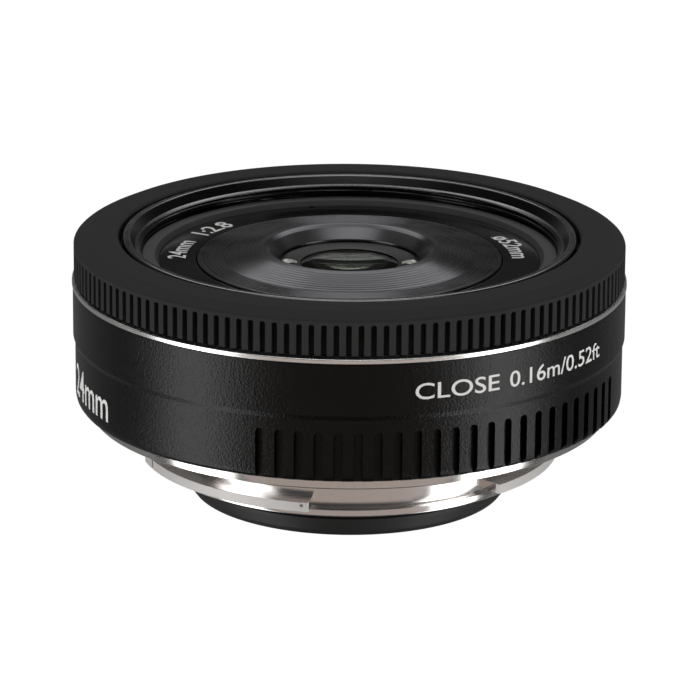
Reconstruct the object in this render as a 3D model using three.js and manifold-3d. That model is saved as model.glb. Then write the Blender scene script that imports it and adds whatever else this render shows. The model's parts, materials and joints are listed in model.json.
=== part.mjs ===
// A slim prime camera lens standing on its rear ring, front glass up.
// Millimetres, +Z up. The optical axis is the Z axis and z = 0 is the plane it stands on.
// Heights inside the lens are given above the bayonet flange, so most parts live in a
// group that is lifted by FLANGE_HEIGHT. Azimuths are degrees from the front (-Y),
// growing towards +X.

import * as THREE from 'three';
import { mergeVertices } from 'three/addons/utils/BufferGeometryUtils.js';
import Module from 'manifold-3d';

const wasm = await Module();
wasm.setup();

// ---------------------------------------------------------------- driving dimensions

const FLANGE_HEIGHT = 10.31; // flange face above the plane the lens stands on
const REAR_END = -FLANGE_HEIGHT;

const SHELL_R = 34.0; // upper band of the barrel
const LOWER_R = 33.75; // lower band of the barrel
const SHELL_BOTTOM = 1.35;
const SHELL_TOP = 16.1;
const SHELL_BORE_R = 32.5;
const STEP_LOW = 9.1;
const STEP_HIGH = 9.75;
const TRIM_R = 34.1; // widest radius of the lens
const TRIM_TOP = 16.94;

const RING_R = 33.8; // manual focus ring
const RING_FLOOR = 17.05;
const RING_TOP = 22.16;
const RING_BORE_R = 28.35;
const KNURL_TOP = 20.4;
const KNURL_DEPTH = 0.6;
const KNURL_RIBS = 145;

const GRIP_FIRST = -18;
const GRIP_LAST = 70;
const GRIP_PITCH = 4;
const GRIP_WIDTH = 1.7;
const GRIP_TOP = 7.65;
const GRIP_DEPTH = 0.75;

const FLANGE_R = 32.0;
const FLANGE_THICK = 1.6;
const THROAT_R = 22.4;
const BAYONET_R = 23.8;
const BAYONET_END = -6.4;
const LUG_R = 26.0;
const LUG_LOW = -5.15;
const LUG_HIGH = -3.95;
const LUGS = [[-66.5, -10.5], [44.7, 101], [170, 222]];
const STOP_BLOCK = [-73.5, -67.2]; // short block that ends the mount's turn in a camera
const TUBE_FOOT_R = 23.4; // the tube draws in to this behind the lugs
const SCREW_CIRCLE_R = 28.2;
const SCREW_AZIMUTHS = [35, 125, 215, 305];
const SCREW_HEAD_R = 1.3;
const SCREW_SHANK_R = 0.7;

const PLATE_LOW = 1.75; // base plate that carries the mechanism
const PLATE_HIGH = 3.0;
const PLATE_BORE_R = 21.6;
const PLATE_R = 32.1;

const THREAD_R = 25.8; // 52 mm filter thread, mean radius
const FRONT_BARREL_R = 27.9;
const NAME_RING_R = 23.4;
const BEZEL_R = 18.7;
const OPENING_R = 8.55;
const CELL_BORE_R = 8.85; // bore of the bezel round the front cell

const FOCUS_TRAVEL = 5.4; // forward travel of the optics from infinity to near focus
const CAM_TURN = 72; // degrees of cam ring for that travel
const ROLLER_Z = 8.0;
const ROLLER_R = 0.8;
const ROLLER_AZIMUTHS = [60, 180, 300];
const SLOT_PLAY = 0.12;

const MODULE = 0.4; // gear tooth module
const PRESSURE_ANGLE = 20;
const CAM_TEETH = 138;
const IDLER_TEETH = 10;
const PINION_TEETH = 8;
const IDLER_AZIMUTH = 40;
const MOTOR_RADIUS = 29.9; // distance of the motor axis from the optical axis

const BLADES = 7;
const IRIS_TURN = 30; // degrees of iris ring from open to closed
const BLADE_TURN = 20.5; // degrees of blade over the same stroke
const STOP_R = 3.7; // full aperture
const BLADE_OUTER_R = 6.7;
const BLADE_PIVOT_R = 7.9;
const BLADE_PIN_OFFSET = 1.6;
const BLADE_PIN_R = 0.3;
const BLADE_THICK = 0.12;
const BLADE_PITCH_Z = 0.2;
const BLADE_BASE_Z = 9.32;
const IRIS_RING_LOW = 10.8;
const IRIS_RING_HIGH = 11.4;
const IRIS_TEETH = 50;
const IRIS_MOTOR_AZIMUTH = 90;

const SWITCH_AZIMUTH = 233;
const SWITCH_Z = 12.7;
const CONTACTS = 7;
const CONTACT_R = 18.9;
const CONTACT_PITCH = 7.6;
const BACK = 180;

const OUTSIDE_SEGMENTS = 40;
const INSIDE_SEGMENTS = 30;
const GLASS_SEGMENTS = 24;
const SMALL_SEGMENTS = 12;
const PIN_SEGMENTS = 8;

const DEG = Math.PI / 180;

// ---------------------------------------------------------------- finishes

function finish(color, roughness, metalness) {
  return new THREE.MeshStandardMaterial({ color, roughness, metalness, flatShading: true });
}

const SATIN_BLACK = finish(0x1c1c1d, 0.5, 0.0);
const RING_RUBBER = finish(0x303032, 0.75, 0.0);
const CHROME = finish(0xd8d8d6, 0.15, 1.0);
const GLOSS_BLACK = finish(0x101011, 0.2, 0.0);
const MATTE_BLACK = finish(0x242425, 0.85, 0.0);
const ALUMINIUM = finish(0xa8aaad, 0.4, 1.0);
const BRASS = finish(0xb9964a, 0.35, 1.0);
const GOLD = finish(0xd9b45a, 0.25, 1.0);
const STEEL = finish(0x9a9da0, 0.3, 1.0);
const GLASS = finish(0x9fb6b4, 0.05, 0.0);
const BOARD_GREEN = finish(0x1f5a3a, 0.6, 0.0);
const FLEX_AMBER = finish(0xa5652a, 0.5, 0.0);
const GEAR_NYLON = finish(0xe4e0d4, 0.6, 0.0);
const FELT = finish(0x161616, 1.0, 0.0);
const INDEX_WHITE = finish(0xf2f2ee, 0.5, 0.0);

// ---------------------------------------------------------------- solids

function signedVolume(position, triangles) {
  const corners = [new THREE.Vector3(), new THREE.Vector3(), new THREE.Vector3()];
  let volume = 0;
  for (let i = 0; i < triangles.length; i += 3) {
    corners.forEach((corner, k) => corner.fromBufferAttribute(position, triangles[i + k]));
    volume += corners[0].dot(corners[1].cross(corners[2])) / 6;
  }
  return volume;
}

// Turns closed three.js geometry into a manifold solid with its faces pointing out.
function toSolid(geometry) {
  geometry.deleteAttribute('normal');
  geometry.deleteAttribute('uv');
  const merged = mergeVertices(geometry);
  const index = merged.index.array;
  const triangles = [];
  for (let i = 0; i < index.length; i += 3) {
    const [a, b, c] = [index[i], index[i + 1], index[i + 2]];
    if (a !== b && b !== c && c !== a) triangles.push(a, b, c);
  }
  if (signedVolume(merged.attributes.position, triangles) < 0) triangles.reverse();
  return new wasm.Manifold(new wasm.Mesh({
    numProp: 3,
    vertProperties: new Float32Array(merged.attributes.position.array),
    triVerts: new Uint32Array(triangles),
  }));
}

function toMesh(name, solid, material) {
  const { vertProperties, triVerts } = solid.getMesh();
  const geometry = new THREE.BufferGeometry();
  geometry.setAttribute('position', new THREE.BufferAttribute(new Float32Array(vertProperties), 3));
  geometry.setIndex(new THREE.BufferAttribute(new Uint32Array(triVerts), 1));
  const mesh = new THREE.Mesh(geometry, material);
  mesh.name = name;
  return mesh;
}

// A closed outline of [radius, height] points turned about the Z axis.
function turned(outline, segments = OUTSIDE_SEGMENTS) {
  const points = outline.map(([r, z]) => new THREE.Vector2(r, z));
  const touchesAxis = outline[0][0] === 0 && outline[outline.length - 1][0] === 0;
  if (!touchesAxis) points.push(points[0].clone());
  return toSolid(new THREE.LatheGeometry(points, segments).rotateX(Math.PI / 2));
}

function ring(innerR, outerR, low, high, segments) {
  return turned([[innerR, low], [outerR, low], [outerR, high], [innerR, high]], segments);
}

function cylinder(radius, low, high, segments = SMALL_SEGMENTS) {
  const geometry = new THREE.CylinderGeometry(radius, radius, high - low, segments);
  return toSolid(geometry.rotateX(Math.PI / 2).translate(0, 0, (low + high) / 2));
}

function outlineShape(points) {
  return new THREE.Shape(points.map(([x, y]) => new THREE.Vector2(x, y)));
}

function extruded(shape, low, high) {
  const options = { depth: high - low, bevelEnabled: false };
  return toSolid(new THREE.ExtrudeGeometry(shape, options).translate(0, 0, low));
}

function polar(radius, azimuth) {
  return [radius * Math.sin(azimuth * DEG), -radius * Math.cos(azimuth * DEG)];
}

// The solid moved out along its azimuth, unturned.
function at(solid, radius, azimuth) {
  const [x, y] = polar(radius, azimuth);
  return solid.translate([x, y, 0]);
}

// A block that follows the barrel, between two azimuths.
function curvedBlock(fromAzimuth, toAzimuth, innerR, outerR, low, high, stepAngle = 6) {
  const steps = Math.max(1, Math.ceil((toAzimuth - fromAzimuth) / stepAngle));
  const arc = (radius) => Array.from({ length: steps + 1 }, (_, i) => (
    polar(radius, fromAzimuth + ((toAzimuth - fromAzimuth) * i) / steps)
  ));
  return extruded(outlineShape([...arc(outerR), ...arc(innerR).reverse()]), low, high);
}

// A solid cylinder that lies along its azimuth, from one radius to another.
function radialPin(radius, innerR, outerR, azimuth, z, segments = SMALL_SEGMENTS) {
  return cylinder(radius, innerR, outerR, segments).rotate([90, 0, azimuth]).translate([0, 0, z]);
}

// Joins equal rings of four corners into one closed bar.
function loft(sections) {
  const index = [0, 1, 2, 0, 2, 3];
  for (let i = 0; i + 1 < sections.length; i += 1) {
    for (let k = 0; k < 4; k += 1) {
      const [a, b] = [i * 4 + k, i * 4 + ((k + 1) % 4)];
      index.push(a, a + 4, b, b, a + 4, b + 4);
    }
  }
  const last = (sections.length - 1) * 4;
  index.push(last, last + 2, last + 1, last, last + 3, last + 2);
  const geometry = new THREE.BufferGeometry();
  const corners = new Float32Array(sections.flat(2));
  geometry.setAttribute('position', new THREE.BufferAttribute(corners, 3));
  geometry.setIndex(index);
  return toSolid(geometry);
}

// A round-ended slot along a straight run of [azimuth, height] points, cut through a
// tube wall.
function tubeSlot(path, halfWidth, innerR, outerR) {
  const midR = (innerR + outerR) / 2;
  const [start, end] = [path[0], path[path.length - 1]];
  const along = new THREE.Vector2((end[0] - start[0]) * DEG * midR, end[1] - start[1]).normalize();
  const sideAngle = (-along.y * halfWidth) / (DEG * midR);
  const sideHeight = along.x * halfWidth;
  const sections = path.map(([azimuth, z]) => [
    [...polar(innerR, azimuth + sideAngle), z + sideHeight],
    [...polar(outerR, azimuth + sideAngle), z + sideHeight],
    [...polar(outerR, azimuth - sideAngle), z - sideHeight],
    [...polar(innerR, azimuth - sideAngle), z - sideHeight],
  ]);
  const ends = [start, end].map(([azimuth, z]) => radialPin(halfWidth, innerR, outerR, azimuth, z));
  return addAll(loft(sections), ends);
}

function subtractAll(solid, cutters) {
  return cutters.reduce((rest, cutter) => rest.subtract(cutter), solid);
}

function addAll(solid, others) {
  return others.reduce((sum, other) => sum.add(other), solid);
}

// ---------------------------------------------------------------- gears

const BACKLASH = 0.05; // taken off each flank
const ADDENDUM = 0.8 * MODULE;
const DEDENDUM = 1.15 * MODULE;

const involute = (angle) => Math.tan(angle) - angle;

// Half the angle of a tooth at a radius, in radians.
function toothHalfAngle(teeth, radius) {
  const pitchR = (teeth * MODULE) / 2;
  const baseR = pitchR * Math.cos(PRESSURE_ANGLE * DEG);
  const local = Math.acos(Math.min(1, baseR / Math.max(radius, baseR)));
  const quarterPitch = Math.PI / (2 * teeth);
  return quarterPitch + involute(PRESSURE_ANGLE * DEG) - involute(local) - BACKLASH / pitchR;
}

// Outline points of teeth centred on the given azimuths.
function toothPoints(teeth, azimuths) {
  const pitchR = (teeth * MODULE) / 2;
  const straightFlank = teeth > 30;
  const radii = [pitchR - DEDENDUM, ...(straightFlank ? [] : [pitchR]), pitchR + ADDENDUM];
  const flank = radii.map((radius) => [radius, toothHalfAngle(teeth, radius) / DEG]);
  return azimuths.flatMap((azimuth) => {
    const rising = flank.map(([radius, half]) => polar(radius, azimuth - half));
    const falling = flank.map(([radius, half]) => polar(radius, azimuth + half)).reverse();
    return [...rising, ...falling];
  });
}

function gear(teeth, toothAzimuth, low, high) {
  const azimuths = Array.from({ length: teeth }, (_, i) => toothAzimuth + (i * 360) / teeth);
  return extruded(outlineShape(toothPoints(teeth, azimuths)), low, high);
}

// Teeth on part of a ring, with a back edge at innerR.
function gearSector(teeth, fromTooth, toTooth, toothAzimuth, innerR, low, high) {
  const pitch = 360 / teeth;
  const count = toTooth - fromTooth + 1;
  const azimuths = Array.from({ length: count }, (_, i) => toothAzimuth + (fromTooth + i) * pitch);
  const backSteps = Math.ceil(count / 4);
  const start = azimuths[0] - pitch / 2;
  const end = azimuths[count - 1] + pitch / 2;
  const back = Array.from({ length: backSteps + 1 }, (_, i) => (
    polar(innerR, end + ((start - end) * i) / backSteps)
  ));
  return extruded(outlineShape([...toothPoints(teeth, azimuths), ...back]), low, high);
}

// Azimuth of a tooth on a driven gear, so that it meshes with the driving gear across
// the line of centres that leaves the driving gear at lineAzimuth.
function meshedTooth(lineAzimuth, drivingTooth, drivingTeeth, drivenTeeth) {
  const pitchesOff = (lineAzimuth - drivingTooth) / (360 / drivingTeeth);
  return lineAzimuth + 180 + (pitchesOff + 0.5) * (360 / drivenTeeth);
}

const pitchRadius = (teeth) => (teeth * MODULE) / 2;

const IDLER_RADIUS = pitchRadius(CAM_TEETH) + pitchRadius(IDLER_TEETH);
const IDLER_SPACING = pitchRadius(IDLER_TEETH) + pitchRadius(PINION_TEETH);
const MOTOR_AZIMUTH = IDLER_AZIMUTH + Math.acos(
  (IDLER_RADIUS ** 2 + MOTOR_RADIUS ** 2 - IDLER_SPACING ** 2) / (2 * IDLER_RADIUS * MOTOR_RADIUS),
) / DEG;
const IDLER_AT = polar(IDLER_RADIUS, IDLER_AZIMUTH);
const MOTOR_AT = polar(MOTOR_RADIUS, MOTOR_AZIMUTH);
const IDLER_TOOTH = meshedTooth(IDLER_AZIMUTH, IDLER_AZIMUTH, CAM_TEETH, IDLER_TEETH);
const IDLER_TO_MOTOR = Math.atan2(MOTOR_AT[0] - IDLER_AT[0], IDLER_AT[1] - MOTOR_AT[1]) / DEG;
const PINION_TOOTH = meshedTooth(IDLER_TO_MOTOR, IDLER_TOOTH, IDLER_TEETH, PINION_TEETH);

// ---------------------------------------------------------------- casing

function switchWindow(margin, innerR, outerR) {
  const halfAngle = 8 - margin / (SHELL_R * DEG);
  const halfHeight = 1.9 - margin;
  return curvedBlock(SWITCH_AZIMUTH - halfAngle, SWITCH_AZIMUTH + halfAngle,
    innerR, outerR, SWITCH_Z - halfHeight, SWITCH_Z + halfHeight);
}

function indexBlock(margin, innerR, outerR) {
  const azimuth = 150;
  const halfAngle = 1.4 - margin / (LOWER_R * DEG);
  return curvedBlock(azimuth - halfAngle, azimuth + halfAngle,
    innerR, outerR, 2.2 + margin, 3.8 - margin);
}

function outerShell() {
  const body = turned([
    [FLANGE_R + 0.15, SHELL_BOTTOM], [33.05, SHELL_BOTTOM], [33.4, 1.55], [33.65, 1.9],
    [LOWER_R, 2.4], [LOWER_R, STEP_LOW], [SHELL_R, STEP_HIGH], [SHELL_R, SHELL_TOP],
    [SHELL_BORE_R, SHELL_TOP], [SHELL_BORE_R, 2.0], [FLANGE_R + 0.15, 2.0],
  ]);
  const grips = [];
  for (let azimuth = GRIP_FIRST; azimuth <= GRIP_LAST; azimuth += GRIP_PITCH) {
    grips.push(curvedBlock(azimuth - GRIP_WIDTH / 2, azimuth + GRIP_WIDTH / 2,
      LOWER_R - GRIP_DEPTH, LOWER_R + 1, 0, GRIP_TOP));
  }
  const indexPocket = indexBlock(0, LOWER_R - 0.6, LOWER_R + 1);
  return subtractAll(body, [...grips, switchWindow(0, SHELL_BORE_R - 1, SHELL_R + 1), indexPocket]);
}

function trimRing() {
  const low = SHELL_TOP + 0.03;
  return turned([
    [SHELL_BORE_R + 0.1, low], [TRIM_R - 0.1, low], [TRIM_R, low + 0.12],
    [TRIM_R, TRIM_TOP - 0.12], [TRIM_R - 0.1, TRIM_TOP], [SHELL_BORE_R + 0.1, TRIM_TOP],
  ]);
}

function knurledSkirt(low, high, boreR) {
  const slotFloorR = RING_R - KNURL_DEPTH;
  const pitch = 360 / KNURL_RIBS;
  const ribs = Array.from({ length: KNURL_RIBS }, (_, i) => i * pitch);
  const points = ribs.flatMap((centre) => [
    polar(RING_R, centre), polar(slotFloorR, centre + pitch / 2),
  ]);
  const bore = cylinder(boreR, low - 1, high + 1, OUTSIDE_SEGMENTS);
  return extruded(outlineShape(points), low, high).subtract(bore);
}

function focusRing() {
  const skirtBoreR = 30.9;
  const topPlateLow = 20.95;
  const crownR = RING_R + 0.05; // the ribs stay inside its flats
  const crown = turned([
    [RING_BORE_R, topPlateLow], [skirtBoreR, topPlateLow], [skirtBoreR, KNURL_TOP],
    [crownR, KNURL_TOP], [crownR, 21.2], [33.6, 21.42], [32.1, 22.1], [31.8, RING_TOP],
    [RING_BORE_R + 0.25, RING_TOP], [RING_BORE_R, 21.95],
  ]);
  return crown.add(knurledSkirt(RING_FLOOR, KNURL_TOP + 0.2, skirtBoreR));
}

// The comb that a sensor counts as the focus ring turns.
function pulseRing() {
  const gapAngle = 360 / OUTSIDE_SEGMENTS; // one facet of the ring, so each gap is one too
  const low = 14.4;
  const comb = ring(31.05, 32.1, low, 17.0, OUTSIDE_SEGMENTS);
  const gaps = Array.from({ length: OUTSIDE_SEGMENTS / 2 }, (_, i) => (
    curvedBlock(2 * i * gapAngle, (2 * i + 1) * gapAngle, 30.5, 32.6, low - 1, low + 1.2, 10)
  ));
  return subtractAll(comb, gaps);
}

// Fixed sleeve that the focus ring turns on.
function ringSeat() {
  return turned([
    [29.6, 12.8], [32.25, 12.8], [32.25, 13.4], [30.6, 13.4], [30.6, 20.6], [29.6, 20.6],
  ], INSIDE_SEGMENTS);
}

// ---------------------------------------------------------------- rear end

const SCREW_HEAD_DEEP = 0.75;

function bayonetMount() {
  const body = turned([
    [THROAT_R, BAYONET_END], [BAYONET_R - 0.3, BAYONET_END], [BAYONET_R, BAYONET_END + 0.3],
    [BAYONET_R, -5.5], [TUBE_FOOT_R, -5.4], [BAYONET_R, -4.3], [BAYONET_R, 0], [FLANGE_R - 0.2, 0],
    [FLANGE_R, 0.2], [FLANGE_R, FLANGE_THICK], [THROAT_R, FLANGE_THICK],
  ]);
  const lugs = [...LUGS, STOP_BLOCK].map(([from, to]) => (
    curvedBlock(from, to, TUBE_FOOT_R - 0.4, LUG_R, LUG_LOW, LUG_HIGH)
  ));
  const holes = SCREW_AZIMUTHS.flatMap((azimuth) => [
    at(cylinder(SCREW_SHANK_R + 0.15, -1, 3), SCREW_CIRCLE_R, azimuth),
    at(cylinder(SCREW_HEAD_R + 0.15, -1, SCREW_HEAD_DEEP), SCREW_CIRCLE_R, azimuth),
  ]);
  const lockPinHole = at(cylinder(1.3, -1, 1.1), SCREW_CIRCLE_R + 1, 80);
  return subtractAll(addAll(body, lugs), [...holes, lockPinHole]);
}

function crossRecess(length, width, low, high) {
  const arm = (x, y) => toSolid(new THREE.BoxGeometry(x, y, high - low)
    .translate(0, 0, (low + high) / 2));
  return arm(length, width).add(arm(width, length));
}

function mountScrew() {
  const headLow = 0.08;
  const body = turned([
    [0, headLow], [SCREW_HEAD_R - 0.2, headLow], [SCREW_HEAD_R, headLow + 0.2],
    [SCREW_HEAD_R, SCREW_HEAD_DEEP - 0.05], [SCREW_SHANK_R, SCREW_HEAD_DEEP - 0.05],
    [SCREW_SHANK_R, PLATE_HIGH - 0.2], [0, PLATE_HIGH - 0.2],
  ], SMALL_SEGMENTS);
  return body.subtract(crossRecess(1.5, 0.32, -1, 0.42));
}

const CONTACT_SPAN = 30; // the contact block reaches this many degrees to each side

function rearRing() {
  const body = turned([
    [0, -9.5], [17.0, -9.5], [17.0, REAR_END], [19.22, REAR_END], [19.75, -9.6],
    [20.15, -8.4], [20.4, -6.6], [THROAT_R - 0.2, -6.3], [THROAT_R - 0.2, 1.4], [20.9, 1.4],
    [20.9, -5.7], [18.9, -6.3], [18.4, -8.9], [0, -8.9],
  ]);
  const window = toSolid(new THREE.BoxGeometry(25, 17.5, 4).translate(0, 0, -9));
  const contactGap = curvedBlock(BACK - CONTACT_SPAN, BACK + CONTACT_SPAN,
    16.9, 21, REAR_END - 1, -7.4);
  const cableGap = toSolid(new THREE.BoxGeometry(8.6, 0.5, 3).translate(0, 19.7, -6.5));
  return subtractAll(body, [window, contactGap, cableGap]);
}

const contactAzimuth = (i) => BACK + (i - (CONTACTS - 1) / 2) * CONTACT_PITCH;

function contactBlock() {
  const span = CONTACT_SPAN - 1;
  const body = curvedBlock(BACK - span, BACK + span, 17.15, 20.2, -9.3, -7.5);
  const holes = Array.from({ length: CONTACTS }, (_, i) => (
    at(cylinder(0.65, REAR_END, -8.4, PIN_SEGMENTS), CONTACT_R, contactAzimuth(i))
  ));
  return subtractAll(body, holes);
}

function contactPin() {
  return turned([[0, -9.55], [0.4, -9.55], [0.55, -9.4], [0.55, -8.5], [0, -8.5]], PIN_SEGMENTS);
}

// Thin strip that rises from the contacts and runs out under the mechanism.
function flexCable() {
  const thick = 0.15;
  const riseY = 19.6;
  const runZ = 2.45;
  const endY = 29.6;
  const tabZ = 2.95;
  const side = outlineShape([
    [riseY, -7.4], [riseY + thick, -7.4], [riseY + thick, runZ], [endY - thick, runZ],
    [endY, runZ], [endY, tabZ], [endY - thick, tabZ], [endY - thick, runZ + thick],
    [riseY, runZ + thick],
  ]);
  const width = 8;
  const options = { depth: width, bevelEnabled: false };
  const strip = new THREE.ExtrudeGeometry(side, options).translate(0, 0, -width / 2);
  return toSolid(strip.rotateX(Math.PI / 2).rotateZ(Math.PI / 2));
}

// ---------------------------------------------------------------- mechanism

function basePlate() {
  const body = ring(PLATE_BORE_R, PLATE_R, PLATE_LOW, PLATE_HIGH, OUTSIDE_SEGMENTS);
  const holes = SCREW_AZIMUTHS.map((azimuth) => (
    at(cylinder(SCREW_SHANK_R + 0.15, 0, 5), SCREW_CIRCLE_R, azimuth)
  ));
  const channel = toSolid(new THREE.BoxGeometry(9, 9, 2).translate(0, 25.5, 3.2));
  const idlerPost = at(cylinder(0.5, PLATE_HIGH - 0.2, 7.2), IDLER_RADIUS, IDLER_AZIMUTH);
  return subtractAll(body, [...holes, channel]).add(idlerPost);
}

function guideTube() {
  const [innerR, outerR] = [24.3, 25.2];
  const tube = ring(innerR, outerR, PLATE_HIGH + 0.05, 17.4, INSIDE_SEGMENTS);
  const slots = ROLLER_AZIMUTHS.map((azimuth) => tubeSlot(
    [[azimuth, ROLLER_Z - 0.2], [azimuth, ROLLER_Z + FOCUS_TRAVEL + 0.2]],
    ROLLER_R + SLOT_PLAY, innerR - 0.5, outerR + 0.5,
  ));
  return subtractAll(tube, slots);
}

// Helical slots drive the rollers; a toothed sector at the foot takes the motor's turn.
function camRing() {
  const [innerR, outerR] = [25.6, 27.0];
  const tube = ring(innerR, outerR, 3.3, 17.0, INSIDE_SEGMENTS);
  const steps = 9;
  const overrun = 1.5; // degrees of slot past each end of the stroke
  const slots = ROLLER_AZIMUTHS.map((azimuth) => {
    const path = Array.from({ length: steps + 1 }, (_, i) => {
      const turn = -overrun + ((CAM_TURN + 2 * overrun) * i) / steps;
      return [azimuth - turn, ROLLER_Z + (FOCUS_TRAVEL * turn) / CAM_TURN];
    });
    return tubeSlot(path, ROLLER_R + SLOT_PLAY, innerR - 0.5, outerR + 0.5);
  });
  const teethBehind = Math.ceil((CAM_TURN / 360) * CAM_TEETH) + 3;
  const sector = gearSector(CAM_TEETH, -teethBehind, 3, IDLER_AZIMUTH, outerR - 0.5, 3.5, 4.9);
  return subtractAll(tube, slots).add(sector);
}

function idlerGear() {
  const wheel = gear(IDLER_TEETH, IDLER_TOOTH, 3.2, 6.9);
  return wheel.subtract(cylinder(0.57, 2, 8));
}

const MOTOR_SHAFT_R = 0.4;

function motorPinion() {
  const shaft = cylinder(MOTOR_SHAFT_R, 6.7, 9.5, PIN_SEGMENTS);
  return gear(PINION_TEETH, PINION_TOOTH, 5.3, 6.9).add(shaft);
}

function motorCan(radius, low, high) {
  const can = turned([
    [0, low], [radius * 0.55, low], [radius * 0.55, low + 0.35], [radius - 0.2, low + 0.35],
    [radius, low + 0.55], [radius, high - 0.2], [radius - 0.2, high], [0, high],
  ], SMALL_SEGMENTS);
  return can.subtract(cylinder(MOTOR_SHAFT_R + 0.08, low - 1, low + 2.6, PIN_SEGMENTS));
}

function circuitBoard() {
  return curvedBlock(BACK - 80, BACK + 80, 28.6, 31.9, 3.05, 3.65);
}

function controlChip() {
  return curvedBlock(BACK + 22, BACK + 31, 29.0, 31.4, 3.7, 4.6, 9);
}

function switchPlate() {
  const plate = switchWindow(0.12, 32.75, 33.4);
  const slot = curvedBlock(SWITCH_AZIMUTH - 4.6, SWITCH_AZIMUTH + 4.6, 32, 34,
    SWITCH_Z - 0.7, SWITCH_Z + 0.7);
  return plate.subtract(slot);
}

function modeSwitch() {
  return curvedBlock(SWITCH_AZIMUTH - 4.2, SWITCH_AZIMUTH - 1.2, 32.8, 34.0,
    SWITCH_Z - 0.55, SWITCH_Z + 0.55, 1.5);
}

// ---------------------------------------------------------------- moving optics

function filterBarrel() {
  return turned([
    [18.9, 17.65], [27.35, 17.65], [27.35, 12.5], [FRONT_BARREL_R, 12.5],
    [FRONT_BARREL_R, 21.75], [27.75, 22.05], [27.1, 22.05], [26.3, 20.95], [THREAD_R, 20.75],
    [THREAD_R, 19.65], [NAME_RING_R + 0.45, 19.6], [NAME_RING_R + 0.05, 18.97],
    [NAME_RING_R + 0.05, 18.2], [18.9, 18.2],
  ]);
}

function frontBezel() {
  const lipUnderside = 18.6;
  return turned([
    [CELL_BORE_R, 17.6], [BEZEL_R, 17.6], [BEZEL_R, 19.15], [15.6, 19.3], [11.1, 20.35],
    [10.4, 20.42], [9.8, 20.1], [OPENING_R, 18.8], [OPENING_R, lipUnderside],
    [CELL_BORE_R, lipUnderside],
  ], INSIDE_SEGMENTS);
}

function lensCarrier() {
  const [boreR, tubeR] = [22.7, 24.0];
  const [webLow, webHigh] = [12.1, 12.9];
  const body = turned([
    [boreR, 5.0], [tubeR, 5.0], [tubeR, 17.5], [boreR, 17.5], [boreR, webHigh],
    [9.6, webHigh], [9.6, webLow], [boreR, webLow],
  ], INSIDE_SEGMENTS);
  const rollerHoles = ROLLER_AZIMUTHS.map((azimuth) => (
    radialPin(0.6, 21, 25.5, azimuth, ROLLER_Z)
  ));
  const shaftHole = at(cylinder(0.8, 10, 14), IRIS_MOTOR_RADIUS, IRIS_MOTOR_AZIMUTH);
  return subtractAll(body, [...rollerHoles, shaftHole]);
}

// Lies along its azimuth: a shank in the carrier and a roller in the two slots.
function camRoller(azimuth) {
  const roller = turned([
    [0, 22.9], [0.5, 22.9], [0.5, 24.12], [ROLLER_R, 24.12], [ROLLER_R, 26.9], [0, 26.9],
  ], SMALL_SEGMENTS);
  return roller.rotate([90, 0, azimuth]).translate([0, 0, ROLLER_Z]);
}

function frontCell() {
  const neckR = CELL_BORE_R - 0.15;
  return turned([
    [8.3, 12.2], [9.4, 12.2], [9.4, 17.4], [neckR, 17.4], [neckR, 18.5], [8.35, 18.5],
    [8.35, 17.0], [7.4, 17.0], [7.4, 16.6], [8.3, 16.6],
  ], INSIDE_SEGMENTS);
}

// A washer-shaped nut that lies on the dome of the front element.
function frontRetainingRing() {
  const innerR = 6.0;
  const outerR = 8.25;
  return turned([[innerR, 18.3], [outerR, 17.95], [outerR, 18.6], [innerR, 18.45]], GLASS_SEGMENTS);
}

function rearCell() {
  return turned([
    [9.15, -3.4], [10.4, -3.4], [10.4, 7.5], [13.6, 7.5], [13.6, 8.25], [9.15, 8.25],
  ], INSIDE_SEGMENTS);
}

// An element between two spherical faces, each given by its vertex height and radius of
// curvature; a positive radius lifts the face towards the rim.
function element(rimR, backFace, frontFace) {
  const steps = 2;
  const height = ({ vertex, curve }, r) => vertex + (r * r) / (2 * curve);
  const face = (surface) => Array.from({ length: steps + 1 }, (_, i) => {
    const r = (rimR * i) / steps;
    return [r, height(surface, r)];
  });
  return turned([...face(backFace), ...face(frontFace).reverse()], GLASS_SEGMENTS);
}

const CEMENT_FACE = { vertex: 6.3, curve: 30 };

const ELEMENTS = {
  front_element: [8.2, { vertex: 16.45, curve: 40 }, { vertex: 18.85, curve: -30 }],
  second_element: [8.2, { vertex: 12.35, curve: 400 }, { vertex: 14.35, curve: -25 }],
  doublet_front: [9.0, CEMENT_FACE, { vertex: 7.2, curve: 50 }],
  doublet_rear: [9.0, { vertex: 3.2, curve: 22 }, { ...CEMENT_FACE, vertex: 6.24 }],
  fifth_element: [9.0, { vertex: 0.4, curve: 40 }, { vertex: 2.4, curve: -60 }],
  rear_element: [9.0, { vertex: -2.2, curve: -100 }, { vertex: -0.2, curve: -80 }],
};

// ---------------------------------------------------------------- iris

const IRIS_MOTOR_RADIUS = pitchRadius(IRIS_TEETH) + pitchRadius(PINION_TEETH);
const IRIS_PINION_TOOTH = meshedTooth(
  IRIS_MOTOR_AZIMUTH, IRIS_MOTOR_AZIMUTH, IRIS_TEETH, PINION_TEETH,
);
const bladeAzimuth = (i) => (i * 360) / BLADES;

function irisBase() {
  const plate = ring(STOP_R + 0.1, 13.6, 8.4, 9.2, INSIDE_SEGMENTS);
  const pivots = Array.from({ length: BLADES }, (_, i) => (
    at(cylinder(BLADE_PIN_R + 0.1, 8, 10, PIN_SEGMENTS), BLADE_PIVOT_R, bladeAzimuth(i))
  ));
  return subtractAll(plate, pivots);
}

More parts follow.
